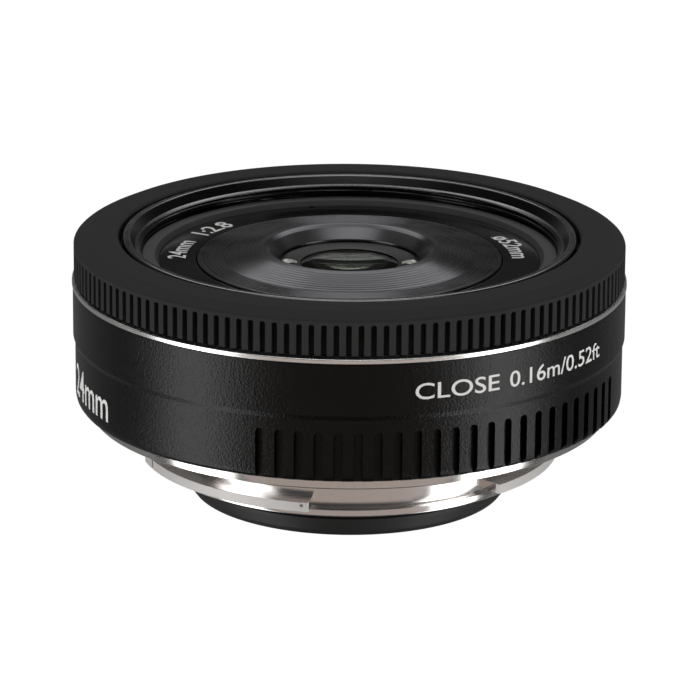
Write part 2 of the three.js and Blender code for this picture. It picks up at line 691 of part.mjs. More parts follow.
// Where a blade's drive pin sits on the iris ring, in [radius, azimuth], when the stroke
// is the given share of its full travel.
function drivePinOnRing(share) {
  const blade = BLADE_TURN * share * DEG;
  const outward = BLADE_PIVOT_R + BLADE_PIN_OFFSET * Math.sin(blade);
  const sideways = -BLADE_PIN_OFFSET * Math.cos(blade);
  const azimuth = Math.atan2(sideways, outward) / DEG;
  return [Math.hypot(outward, sideways), azimuth - IRIS_TURN * share];
}

function drivePinSlot(pivotAzimuth) {
  const steps = 6;
  const overrun = 0.13; // slot past each end of the stroke, as a share of it
  const halfWidth = BLADE_PIN_R + 0.14;
  const offset = (sign) => Array.from({ length: steps + 1 }, (_, i) => {
    const share = -overrun + ((1 + 2 * overrun) * i) / steps;
    const [radius, azimuth] = drivePinOnRing(share);
    return polar(radius + sign * halfWidth, azimuth + pivotAzimuth);
  });
  const outline = outlineShape([...offset(1), ...offset(-1).reverse()]);
  return extruded(outline, IRIS_RING_LOW - 1, IRIS_RING_HIGH + 1);
}

function irisRing() {
  const [innerR, outerR] = [6.9, 9.4];
  const plate = ring(innerR, outerR, IRIS_RING_LOW, IRIS_RING_HIGH, INSIDE_SEGMENTS);
  const slots = Array.from({ length: BLADES }, (_, i) => drivePinSlot(bladeAzimuth(i)));
  const teethBehind = Math.ceil((IRIS_TURN / 360) * IRIS_TEETH) + 2;
  const sector = gearSector(IRIS_TEETH, -teethBehind, 2, IRIS_MOTOR_AZIMUTH, outerR - 0.3,
    IRIS_RING_LOW, IRIS_RING_HIGH);
  return subtractAll(plate, slots).add(sector);
}

function irisPinion() {
  const shaft = cylinder(MOTOR_SHAFT_R, 11.2, 15.3, PIN_SEGMENTS);
  return gear(PINION_TEETH, IRIS_PINION_TOOTH, IRIS_RING_LOW, IRIS_RING_HIGH).add(shaft);
}

// A crescent with a lug that carries the pivot pin below and the drive pin above.
function irisBlade(level) {
  const low = BLADE_BASE_Z + level * BLADE_PITCH_Z;
  const high = low + BLADE_THICK;
  const [tip, heel] = [150, -8];
  const steps = 7;
  const arc = (radius, from, to) => Array.from({ length: steps + 1 }, (_, i) => (
    polar(radius, from + ((to - from) * i) / steps)
  ));
  const lug = [polar(8.5, heel - 6), polar(8.7, 0), polar(8.0, 5)];
  const points = [...lug, ...arc(BLADE_OUTER_R, 12, tip), ...arc(STOP_R, tip - 6, heel)];
  const pivot = at(cylinder(BLADE_PIN_R, 8.55, low + 0.05, PIN_SEGMENTS), BLADE_PIVOT_R, 0);
  const [pinR, pinAzimuth] = drivePinOnRing(0);
  const drive = at(cylinder(BLADE_PIN_R, low + 0.05, IRIS_RING_HIGH - 0.1, PIN_SEGMENTS),
    pinR, pinAzimuth);
  return extruded(outlineShape(points), low, high).add(pivot).add(drive);
}

// ---------------------------------------------------------------- assembly

function group(parts) {
  const result = new THREE.Group();
  parts.forEach((part) => result.add(part));
  return result;
}

function repeated(count, make) {
  return Array.from({ length: count }, (_, i) => make(i));
}

function mounted(mesh, radius, azimuth, turn = 0) {
  const [x, y] = polar(radius, azimuth);
  mesh.position.set(x, y, 0);
  mesh.rotation.z = turn * DEG;
  return mesh;
}

const casing = group([
  toMesh('outer_shell', outerShell(), SATIN_BLACK),
  toMesh('trim_ring', trimRing(), CHROME),
  toMesh('switch_plate', switchPlate(), GLOSS_BLACK),
  toMesh('mode_switch', modeSwitch(), MATTE_BLACK),
  toMesh('mount_index', indexBlock(0.1, LOWER_R - 0.5, LOWER_R - 0.02), INDEX_WHITE),
]);

const focusControl = group([
  toMesh('focus_ring', focusRing(), RING_RUBBER),
  toMesh('pulse_ring', pulseRing(), MATTE_BLACK),
  toMesh('ring_seat', ringSeat(), MATTE_BLACK),
  toMesh('dust_seal', ring(28.1, 29.5, 18.6, 19.6, INSIDE_SEGMENTS), FELT),
]);

const rearEnd = group([
  toMesh('bayonet_mount', bayonetMount(), CHROME),
  ...SCREW_AZIMUTHS.map((azimuth, i) => mounted(
    toMesh(`mount_screw_${i + 1}`, mountScrew(), STEEL), SCREW_CIRCLE_R, azimuth, azimuth,
  )),
  toMesh('rear_ring', rearRing(), MATTE_BLACK),
  toMesh('contact_block', contactBlock(), MATTE_BLACK),
  ...repeated(CONTACTS, (i) => mounted(
    toMesh(`contact_pin_${i + 1}`, contactPin(), GOLD), CONTACT_R, contactAzimuth(i),
  )),
  toMesh('flex_cable', flexCable(), FLEX_AMBER),
]);

const mechanism = group([
  toMesh('base_plate', basePlate(), ALUMINIUM),
  toMesh('guide_tube', guideTube(), ALUMINIUM),
  toMesh('cam_ring', camRing(), BRASS),
  mounted(toMesh('idler_gear', idlerGear(), GEAR_NYLON), IDLER_RADIUS, IDLER_AZIMUTH),
  mounted(toMesh('motor_pinion', motorPinion(), BRASS), MOTOR_RADIUS, MOTOR_AZIMUTH),
  mounted(toMesh('focus_motor', motorCan(2.15, 7.1, 12.0), STEEL), MOTOR_RADIUS, MOTOR_AZIMUTH),
  toMesh('circuit_board', circuitBoard(), BOARD_GREEN),
  toMesh('control_chip', controlChip(), GLOSS_BLACK),
]);

const iris = group([
  toMesh('iris_base', irisBase(), MATTE_BLACK),
  toMesh('iris_ring', irisRing(), MATTE_BLACK),
  mounted(toMesh('iris_pinion', irisPinion(), BRASS), IRIS_MOTOR_RADIUS, IRIS_MOTOR_AZIMUTH),
  mounted(toMesh('iris_motor', motorCan(1.95, 13.0, 17.2), STEEL),
    IRIS_MOTOR_RADIUS, IRIS_MOTOR_AZIMUTH),
  ...repeated(BLADES, (i) => mounted(
    toMesh(`iris_blade_${i + 1}`, irisBlade(i), MATTE_BLACK), 0, 0, bladeAzimuth(i),
  )),
]);

const optics = group([
  toMesh('filter_barrel', filterBarrel(), SATIN_BLACK),
  toMesh('name_ring', ring(BEZEL_R + 0.15, NAME_RING_R, 18.3, 18.97), GLOSS_BLACK),
  toMesh('front_bezel', frontBezel(), SATIN_BLACK),
  toMesh('front_retaining_ring', frontRetainingRing(), MATTE_BLACK),
  toMesh('front_cell', frontCell(), MATTE_BLACK),
  toMesh('lens_carrier', lensCarrier(), ALUMINIUM),
  ...ROLLER_AZIMUTHS.map((azimuth, i) => (
    toMesh(`cam_roller_${i + 1}`, camRoller(azimuth), BRASS)
  )),
  toMesh('rear_cell', rearCell(), MATTE_BLACK),
  toMesh('rear_retaining_ring', ring(7.8, 9.05, -3.3, -2.75, GLASS_SEGMENTS), MATTE_BLACK),
  ...Object.entries(ELEMENTS).map(([name, shape]) => toMesh(name, element(...shape), GLASS)),
]);

const aboveFlange = group([casing, focusControl, rearEnd, mechanism, iris, optics]);
aboveFlange.position.z = FLANGE_HEIGHT;

const lens = new THREE.Group();
lens.add(aboveFlange);

export default lens;
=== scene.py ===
"""A slim prime camera lens that stands on its rear ring with the front glass up.

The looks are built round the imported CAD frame. Outlines are in millimetres: radius from
the optical axis, and height above the bayonet flange. Azimuths are degrees from the front
(-Y), growing towards +X.
"""

import json
import math

import bmesh
import bpy
import numpy as np
from mathutils import Matrix, Quaternion, Vector

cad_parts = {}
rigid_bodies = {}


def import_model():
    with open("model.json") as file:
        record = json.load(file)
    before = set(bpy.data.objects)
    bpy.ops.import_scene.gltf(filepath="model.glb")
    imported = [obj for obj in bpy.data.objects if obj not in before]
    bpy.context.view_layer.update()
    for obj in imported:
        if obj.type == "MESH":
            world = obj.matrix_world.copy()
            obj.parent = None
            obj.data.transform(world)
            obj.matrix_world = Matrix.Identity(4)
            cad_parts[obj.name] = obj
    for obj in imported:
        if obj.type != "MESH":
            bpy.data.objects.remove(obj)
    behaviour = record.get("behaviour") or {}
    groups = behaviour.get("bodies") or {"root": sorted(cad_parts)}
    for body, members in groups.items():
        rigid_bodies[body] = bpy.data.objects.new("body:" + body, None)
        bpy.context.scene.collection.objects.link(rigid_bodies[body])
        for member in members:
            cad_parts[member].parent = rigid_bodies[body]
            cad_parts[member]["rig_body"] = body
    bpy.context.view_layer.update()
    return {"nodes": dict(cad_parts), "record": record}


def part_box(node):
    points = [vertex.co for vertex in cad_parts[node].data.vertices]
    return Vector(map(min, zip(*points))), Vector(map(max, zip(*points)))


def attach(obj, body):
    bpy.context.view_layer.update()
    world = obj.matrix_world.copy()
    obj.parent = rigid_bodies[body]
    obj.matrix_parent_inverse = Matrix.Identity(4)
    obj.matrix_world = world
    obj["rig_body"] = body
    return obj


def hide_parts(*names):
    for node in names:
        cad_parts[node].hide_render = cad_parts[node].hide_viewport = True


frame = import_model()

MM = 0.001
FLANGE_THICK = 1.6


def span(node):
    """Outer radius, lowest and highest height of a round CAD node, in millimetres above the flange."""
    low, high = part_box(node)
    return high.y / MM, low.z / MM - FLANGE_LIFT, high.z / MM - FLANGE_LIFT


FLANGE_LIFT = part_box("bayonet_mount")[1].z / MM - FLANGE_THICK

SHELL_R, SHELL_LOW, SHELL_HIGH = span("outer_shell")
LOWER_R = SHELL_R - 0.25
TRIM_R, TRIM_LOW, TRIM_HIGH = span("trim_ring")
RING_R, RING_LOW, RING_HIGH = span("focus_ring")
FLANGE_R = 32.0
BARREL_R, _, BARREL_HIGH = span("filter_barrel")
NAME_R, NAME_LOW, NAME_HIGH = span("name_ring")
BEZEL_R, _, BEZEL_HIGH = span("front_bezel")
REAR_LOW = -FLANGE_LIFT

KNURL_RIBS = 145
GRIP_AZIMUTHS = np.arange(-18, 71, 4)
SCREW_AZIMUTHS = (35, 125, 215, 305)
SCREW_CIRCLE_R = 28.2
SWITCH_AZIMUTH = 233
SWITCH_Z = 12.7
INDEX_AZIMUTH = 150
INDEX_Z = 3.0
LUGS = ((-66.5, -10.5), (44.7, 101), (170, 222))
STOP_BLOCK = (-73.5, -67.2)
BACK = 180
CONTACTS = 7
CONTACT_R = 18.9
CONTACT_PITCH = 7.6
SHARP_ANGLE = 35  # edges that bend by more than this stay crisp

# ------------------------------------------------------------------ materials


def add_node(tree, kind, inputs=None, **settings):
    """A shader node. An input is a number or colour, or another node's output."""
    made = tree.nodes.new(kind)
    for name, value in settings.items():
        setattr(made, name, value)
    for key, value in (inputs or {}).items():
        if isinstance(value, bpy.types.NodeSocket):
            tree.links.new(value, made.inputs[key])
        else:
            made.inputs[key].default_value = value
    return made


def maths(tree, operation, *values):
    made = add_node(tree, "ShaderNodeMath", dict(enumerate(values)), operation=operation)
    return made.outputs[0]


def mapped(tree, value, low, high, to_low, to_high, smooth=False):
    inputs = {0: value, 1: low, 2: high, 3: to_low, 4: to_high}
    kind = "SMOOTHSTEP" if smooth else "LINEAR"
    return add_node(tree, "ShaderNodeMapRange", inputs, interpolation_type=kind).outputs[0]


def mixed(tree, factor, first, second):
    made = add_node(tree, "ShaderNodeMix", data_type="RGBA")
    for socket, value in zip((made.inputs[0], made.inputs[6], made.inputs[7]), (factor, first, second)):
        if isinstance(value, bpy.types.NodeSocket):
            tree.links.new(value, socket)
        else:
            socket.default_value = value
    return made.outputs[2]


def noise(tree, place, size_mm, detail=2.0, roughness=0.5):
    inputs = {"Vector": place, "Scale": 1 / (size_mm * MM), "Detail": detail, "Roughness": roughness}
    return add_node(tree, "ShaderNodeTexNoise", inputs).outputs["Fac"]


def lathe_place(tree, place):
    """Coordinates that change with radius and height only, so that a pattern runs round the axis."""
    parts = add_node(tree, "ShaderNodeSeparateXYZ", {0: place})
    radius = maths(tree, "SQRT", maths(tree, "ADD",
                   maths(tree, "MULTIPLY", parts.outputs[0], parts.outputs[0]),
                   maths(tree, "MULTIPLY", parts.outputs[1], parts.outputs[1])))
    return add_node(tree, "ShaderNodeCombineXYZ", {0: radius, 1: parts.outputs[2]}).outputs[0]


def tinted(color, factor):
    return tuple(min(1.0, c * factor) for c in color[:3]) + (1.0,)


def finish(name, color, roughness, metallic=0.0, specular=0.5, grain=0.15, relief=0.004,
           mottle=0.15, scuff=0.05, turned=0.0, coat=0.0, sheen=0.0, brushed=0.0):
    """A surface with fine grain, cloudy variation of colour and gloss, and lathe marks if it is turned.

    Brushed surfaces spread their highlights across marks that run round the optical axis.
    """
    material = bpy.data.materials.new(name)
    material.use_nodes = True
    tree = material.node_tree
    tree.nodes.clear()
    place = add_node(tree, "ShaderNodeTexCoord").outputs["Object"]
    spots = noise(tree, place, grain, detail=3.0)
    clouds = noise(tree, place, 9.0, detail=5.0)
    blend = maths(tree, "MULTIPLY_ADD", spots, 0.5, maths(tree, "MULTIPLY", clouds, 0.5))
    share = mapped(tree, blend, 0.35, 0.65, 0.0, 1.0)
    base = mixed(tree, share, tinted(color, 1 - mottle), tinted(color, 1 + mottle))
    gloss = mapped(tree, clouds, 0.3, 0.7, roughness - scuff, roughness + scuff)
    height = spots
    if turned:
        lines = noise(tree, lathe_place(tree, place), turned, detail=3.0, roughness=0.7)
        height = maths(tree, "MULTIPLY_ADD", lines, 0.85, maths(tree, "MULTIPLY", spots, 0.15))
        gloss = maths(tree, "ADD", gloss, mapped(tree, lines, 0.3, 0.7, -scuff, scuff))
    bump = add_node(tree, "ShaderNodeBump", {"Height": height, "Distance": relief * MM, "Strength": 1.0})
    shader = add_node(tree, "ShaderNodeBsdfPrincipled", {
        "Base Color": base, "Roughness": gloss, "Metallic": metallic, "Specular IOR Level": specular,
        "Coat Weight": coat, "Coat Roughness": 0.08, "Sheen Weight": sheen, "Normal": bump.outputs[0],
        "Anisotropic": brushed, "Anisotropic Rotation": 0.25,
    })
    if brushed:
        marks = add_node(tree, "ShaderNodeTangent", direction_type="RADIAL", axis="Z")
        tree.links.new(marks.outputs[0], shader.inputs["Tangent"])
    add_node(tree, "ShaderNodeOutputMaterial", {0: shader.outputs[0]})
    return material


def coated_glass(name, tint, film_color, film_share):
    """Optical glass whose film keeps only a share of the reflection, with a trace of dust."""
    material = bpy.data.materials.new(name)
    material.use_nodes = True
    tree = material.node_tree
    tree.nodes.clear()
    place = add_node(tree, "ShaderNodeTexCoord").outputs["Object"]
    dust = noise(tree, place, 0.5, detail=6.0)
    gloss = mapped(tree, dust, 0.6, 0.85, 0.0, 0.04)
    through = add_node(tree, "ShaderNodeBsdfRefraction", {"Color": tint, "Roughness": gloss, "IOR": 1.6})
    mirror = add_node(tree, "ShaderNodeBsdfGlossy", {"Color": film_color, "Roughness": gloss})
    share = maths(tree, "MULTIPLY", add_node(tree, "ShaderNodeFresnel", {"IOR": 1.6}).outputs[0], film_share)
    shown = add_node(tree, "ShaderNodeMixShader", {0: share, 1: through.outputs[0], 2: mirror.outputs[0]})
    add_node(tree, "ShaderNodeOutputMaterial", {0: shown.outputs[0]})
    return material


def board_finish(name):
    """Green solder mask over copper tracks."""
    material = finish(name, (0.012, 0.075, 0.035), 0.35, grain=0.3, coat=0.3)
    tree = material.node_tree
    shader = next(n for n in tree.nodes if n.type == "BSDF_PRINCIPLED")
    place = add_node(tree, "ShaderNodeTexCoord").outputs["Object"]
    inputs = {"Vector": place, "Scale": 1 / (1.1 * MM)}
    cells = add_node(tree, "ShaderNodeTexVoronoi", inputs, feature="DISTANCE_TO_EDGE", distance="MANHATTAN")
    track = mapped(tree, cells.outputs["Distance"], 0.05, 0.12, 1.0, 0.0)
    plain = shader.inputs["Base Color"].links[0].from_socket
    tree.links.new(mixed(tree, track, plain, (0.03, 0.2, 0.08, 1)), shader.inputs["Base Color"])
    return material


FINISHES = {
    "shell": finish("shell_satin_black", (0.0014, 0.0014, 0.0014), 0.27, specular=0.24,
                    grain=0.26, relief=0.06, mottle=0.25, scuff=0.03),
    "focus_ring": finish("ring_matte_black", (0.032, 0.032, 0.0322), 0.75, specular=0.1,
                         grain=0.12, relief=0.008, mottle=0.12),
    "trim": finish("trim_chrome", (0.93, 0.93, 0.92), 0.22, metallic=1.0, grain=0.3,
                   relief=0.001, mottle=0.03, scuff=0.04, turned=0.06),
    "bayonet": finish("bayonet_chrome", (0.78, 0.76, 0.745), 0.165, metallic=1.0, grain=0.3,
                      relief=0.0004, mottle=0.04, scuff=0.03, turned=0.08),
    "lug_sides": finish("lug_satin_chrome", (0.6, 0.59, 0.58), 0.6, metallic=0.35, grain=0.12,
                        relief=0.004, mottle=0.03),
    "screws": finish("screw_steel", (0.62, 0.62, 0.63), 0.28, metallic=1.0, grain=0.1,
                     relief=0.003, mottle=0.08),
    "rear": finish("rear_matte_black", (0.009, 0.009, 0.009), 0.5, specular=0.3, grain=0.14,
                   relief=0.01, mottle=0.2),
    "contacts": finish("contact_gold", (0.85, 0.6, 0.24), 0.22, metallic=1.0, grain=0.08,
                       relief=0.001, mottle=0.06),
    "cable": finish("flex_amber", (0.36, 0.15, 0.03), 0.35, grain=0.4, relief=0.002, coat=0.4),
    "board": board_finish("board_green"),
    "chip": finish("chip_black", (0.012, 0.012, 0.013), 0.5, grain=0.1, relief=0.004),
    "chassis": finish("chassis_aluminium", (0.62, 0.63, 0.65), 0.34, metallic=1.0, grain=0.1,
                      relief=0.003, mottle=0.06, turned=0.15),
    "cam": finish("cam_brass", (0.66, 0.47, 0.18), 0.3, metallic=1.0, grain=0.1,
                  relief=0.002, mottle=0.08, turned=0.12),
    "rollers": finish("roller_brass", (0.7, 0.5, 0.2), 0.22, metallic=1.0, grain=0.08, relief=0.001),
    "gears": finish("gear_nylon", (0.72, 0.69, 0.58), 0.45, grain=0.2, relief=0.003, mottle=0.05),
    "motor": finish("motor_steel", (0.5, 0.51, 0.52), 0.3, metallic=1.0, grain=0.1, relief=0.002),
    "felt": finish("seal_felt", (0.01, 0.01, 0.01), 0.95, grain=0.08, relief=0.03, mottle=0.4, sheen=0.4),
    "front_barrel": finish("front_barrel_black", (0.002, 0.002, 0.002), 0.24, specular=0.45,
                           grain=0.2, relief=0.002, mottle=0.15),
    "rim_edge": finish("rim_worn_edge", (0.17, 0.17, 0.175), 0.24, metallic=1.0, grain=0.12, relief=0.001,
                       turned=0.1),
    "shelf": finish("shelf_matte_black", (0.045, 0.045, 0.045), 0.6, specular=0.3, grain=0.12, relief=0.004,
                    turned=0.1),
    # painted glint: a pale, nearly white finish for the spanner recesses, standing in for reflections of the
    # studio lights
    "recess": finish("recess_painted_glint", (0.92, 0.91, 0.84), 0.4, metallic=0.25, grain=0.08, relief=0.002),
    "name_ring": finish("name_ring_gloss", (0.003, 0.003, 0.0033), 0.16, specular=0.5,
                        grain=0.3, relief=0.0008, mottle=0.1, scuff=0.03),
    "bezel": finish("bezel_satin", (0.125, 0.125, 0.132), 0.31, metallic=1.0, grain=0.1,
                    relief=0.003, mottle=0.1, turned=0.12, brushed=0.7),
    "cells": finish("cell_matte_black", (0.004, 0.004, 0.004), 0.4, specular=0.3, grain=0.12, relief=0.003,
                    turned=0.12),
    "glass": coated_glass("element_glass", (0.95, 0.96, 0.94, 1), (0.97, 1, 0.95, 1), 0.6),
    "blades": finish("blade_blued_steel", (0.03, 0.031, 0.036), 0.4, metallic=0.6, grain=0.1,
                     relief=0.002),
    "switch": finish("switch_black", (0.012, 0.012, 0.012), 0.4, grain=0.12, relief=0.004),
    "index": finish("index_white", (0.82, 0.82, 0.8), 0.45, grain=0.1, relief=0.003, mottle=0.04),
}
PRINT_WHITE = finish("print_white", (0.86, 0.86, 0.85), 0.55, grain=0.06, relief=0.002, mottle=0.05)

SLOT_OF = {part["node"]: part["material_slot"] for part in frame["record"]["subparts"]}

# ------------------------------------------------------------------ mesh tools


def smoothstep(low, high, value):
    t = np.clip((value - low) / (high - low), 0, 1)
    return t * t * (3 - 2 * t)


def to_object(name, bm, sharp=SHARP_ANGLE):
    """An object from a bmesh whose vertices are in millimetres above the flange."""
    bmesh.ops.remove_doubles(bm, verts=bm.verts, dist=1e-5)
    bmesh.ops.recalc_face_normals(bm, faces=bm.faces)
    for vertex in bm.verts:
        vertex.co = (vertex.co + Vector((0, 0, FLANGE_LIFT))) * MM
    for face in bm.faces:
        face.smooth = True
    mesh = bpy.data.meshes.new(name)
    bm.to_mesh(mesh)
    bm.free()
    mesh.set_sharp_from_angle(angle=math.radians(sharp))
    obj = bpy.data.objects.new(name, mesh)
    bpy.context.scene.collection.objects.link(obj)
    return obj


def stand_for(obj, *nodes):
    """The piece takes the place, body and finish of these CAD nodes."""
    slot = SLOT_OF[nodes[0]]
    obj.data.materials.clear()
    obj.data.materials.append(FINISHES[slot])
    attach(obj, frame["nodes"][nodes[0]]["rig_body"])
    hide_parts(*nodes)
    return obj


def refinish(obj, finish_name, chosen):
    """One more finish, for the faces whose centre (millimetres above the flange) is chosen."""
    obj.data.materials.append(FINISHES[finish_name])
    index = len(obj.data.materials) - 1
    for face in obj.data.polygons:
        if chosen(face.center / MM - Vector((0, 0, FLANGE_LIFT))):
            face.material_index = index


def rounded(corners, steps=4):
    """A closed outline. Each corner is (radius, height) or (radius, height, rounding)."""
    corners = [tuple(c) + (0.0,) * (3 - len(c)) for c in corners]
    points = []
    for i, (r, z, rounding) in enumerate(corners):
        here = np.array([r, z])
        if rounding <= 0:
            points.append(here)
            continue
        before = np.array(corners[i - 1][:2]) - here
        after = np.array(corners[(i + 1) % len(corners)][:2]) - here
        before /= np.linalg.norm(before)
        after /= np.linalg.norm(after)
        half_angle = math.acos(np.clip(before @ after, -1, 1)) / 2
        reach = rounding / math.tan(half_angle)
        start, end = here + before * reach, here + after * reach
        for t in np.linspace(0, 1, steps + 1):
            points.append((1 - t) ** 2 * start + 2 * t * (1 - t) * here + t ** 2 * end)
    return np.array(points)


def refined(outline, step, low=-1e9, high=1e9):
    """The outline with its runs between two heights divided to at most the step."""
    points = []
    for here, there in zip(outline, np.roll(outline, -1, axis=0)):
        points.append(here)
        length = np.linalg.norm(there - here)
        middle = (here[1] + there[1]) / 2
        if length > step and low <= middle <= high:
            count = math.ceil(length / step)
            points += [here + (there - here) * k / count for k in range(1, count)]
    return np.array(points)


def split_at(outline, *heights):
    """The outline with a point added wherever a run crosses one of the heights."""
    points = []
    for here, there in zip(outline, np.roll(outline, -1, axis=0)):
        points.append(here)
        crossed = [z for z in heights if min(here[1], there[1]) < z < max(here[1], there[1])]
        for z in sorted(crossed, reverse=there[1] < here[1]):
            points.append(here + (there - here) * (z - here[1]) / (there[1] - here[1]))
    return np.array(points)


ROUND = np.linspace(0, 360, 256, endpoint=False)
SMALL_ROUND = np.linspace(0, 360, 48, endpoint=False)


def revolved(outline, azimuths=ROUND, shape=None):
    """A bmesh turned about the axis. shape(azimuths, radii, heights) may move the points."""
    outline = np.array(outline, float)
    azimuths = np.array(azimuths, float)[:, None]
    radii = np.repeat(outline[None, :, 0], len(azimuths), axis=0)
    heights = np.repeat(outline[None, :, 1], len(azimuths), axis=0)
    if shape:
        radii, heights = shape(azimuths, radii, heights)
    turn = np.radians(azimuths)
    points = np.stack([radii * np.sin(turn), -radii * np.cos(turn), heights], axis=2)
    columns, rows = radii.shape
    bm = bmesh.new()
    verts = [bm.verts.new(p) for p in points.reshape(-1, 3)]
    on_axis = outline[0][0] == 0 and outline[-1][0] == 0
    for i in range(columns):
        j = (i + 1) % columns
        for k in range(rows - 1 if on_axis else rows):
            m = (k + 1) % rows
            corners = (verts[i * rows + k], verts[j * rows + k], verts[j * rows + m], verts[i * rows + m])
            bm.faces.new(corners)
    return bm


def turned(name, outline, azimuths=ROUND, shape=None, sharp=SHARP_ANGLE):
    return to_object(name, revolved(outline, azimuths, shape), sharp)


def rectangle(inner, outer, low, high, rounding=0.08):
    return rounded([(r, z, rounding) for r, z in
                    ((inner, low), (outer, low), (outer, high), (inner, high))], steps=3)


def clustered(centres, half, edge, inside, spacing):
    """Azimuths all the way round, dense at each centre's two edges."""
    near = np.concatenate([np.linspace(-half - edge, -half + edge, 4),
                           np.linspace(-half + edge, half - edge, inside + 2)[1:-1],
                           np.linspace(half - edge, half + edge, 4)])
    dense = np.concatenate([c + near for c in centres]) % 360
    plain = np.arange(0, 360, spacing)
    gap = np.abs((plain[:, None] - np.array(centres)[None, :] + 180) % 360 - 180).min(axis=1)
    return np.unique(np.concatenate([dense, plain[gap > half + 2 * edge]]).round(6))


def from_nearest(azimuths, centres, radius):
    """Distance along the barrel to the nearest of the centres, in millimetres."""
    gap = (azimuths[..., None] - np.array(centres, float) + 180) % 360 - 180
    return np.abs(gap).min(axis=-1) * math.radians(1) * radius


def round_topped(distance, heights, half, top, edge):
    """1 inside a slot with a round top, falling to 0 across its edge."""
    above = np.maximum(heights - (top - half), 0)
    return 1 - smoothstep(-edge, edge, np.hypot(distance, above) - half)


def curved_bar(from_azimuth, to_azimuth, inner, outer, low, high, bevel=0.1, step=1.2):
    """A bmesh bar with bevelled edges that follows the barrel between two azimuths."""
    radius = (inner + outer) / 2
    length = math.radians(to_azimuth - from_azimuth) * radius
    bm = bmesh.new()
    bmesh.ops.create_cube(bm, size=1)
    size = Vector((length, outer - inner, high - low))
    for vertex in bm.verts:
        vertex.co = Vector(a * b for a, b in zip(vertex.co, size))
    bmesh.ops.bevel(bm, geom=bm.edges[:], offset=bevel, segments=3, profile=0.5, affect="EDGES")
    cuts = max(1, math.ceil(length / step))
    for i in range(1, cuts):
        place = Vector((length * (i / cuts - 0.5), 0, 0))
        geometry = bm.verts[:] + bm.edges[:] + bm.faces[:]
        bmesh.ops.bisect_plane(bm, geom=geometry, plane_co=place, plane_no=(1, 0, 0))
    middle = (from_azimuth + to_azimuth) / 2
    for vertex in bm.verts:
        turn = math.radians(middle) + vertex.co.x / radius
        r = radius + vertex.co.y
        vertex.co = (r * math.sin(turn), -r * math.cos(turn), (low + high) / 2 + vertex.co.z)
    return bm


def polar(radius, azimuth):
    turn = math.radians(azimuth)
    return Vector((radius * math.sin(turn), -radius * math.cos(turn), 0))


def shifted(bm, radius, azimuth, turn=0.0):
    """The bmesh turned about its own axis and moved out to a radius and azimuth."""
    matrix = Matrix.Rotation(math.radians(turn), 3, "Z")
    bmesh.ops.rotate(bm, verts=bm.verts, cent=(0, 0, 0), matrix=matrix)
    bmesh.ops.translate(bm, verts=bm.verts, vec=polar(radius, azimuth))
    return bm


def facing_out(bm, azimuth, height):
    """The bmesh with its own z axis turned to point out from the barrel."""
    outward, sideways = polar(1, azimuth), polar(1, azimuth + 90)
    for vertex in bm.verts:
        x, y, z = vertex.co
        vertex.co = outward * z + sideways * x + Vector((0, 0, height + y))
    return bm


def merged(*parts):
    """One bmesh from several."""
    whole = bmesh.new()
    for part in parts:
        mesh = bpy.data.meshes.new("part")
        part.to_mesh(mesh)
        part.free()
        whole.from_mesh(mesh)
        bpy.data.meshes.remove(mesh)
    return whole


def cut(obj, cutter_mesh, operation="DIFFERENCE"):
    """Cuts a closed bmesh out of an object, or joins it on."""
    cutter = to_object("cutter", cutter_mesh)
    modifier = obj.modifiers.new("cut", "BOOLEAN")
    modifier.operation = operation
    modifier.solver = "EXACT"
    modifier.object = cutter
    depsgraph = bpy.context.evaluated_depsgraph_get()
    mesh = bpy.data.meshes.new_from_object(obj.evaluated_get(depsgraph))
    obj.modifiers.clear()
    old = obj.data
    obj.data = mesh
    mesh.name = obj.name
    bpy.data.meshes.remove(old)
    bpy.data.objects.remove(cutter)
    mesh.set_sharp_from_angle(angle=math.radians(SHARP_ANGLE))
    return obj


def box(width, depth, low, high, x=0.0, y=0.0):
    bm = bmesh.new()
    bmesh.ops.create_cube(bm, size=1)
    for vertex in bm.verts:
        side = vertex.co.z > 0
        vertex.co = (x + vertex.co.x * width, y + vertex.co.y * depth, high if side else low)
    return bm


def disc(radius, low, high):
    return revolved([(0, low), (radius, low), (radius, high), (0, high)], SMALL_ROUND)


# ------------------------------------------------------------------ casing


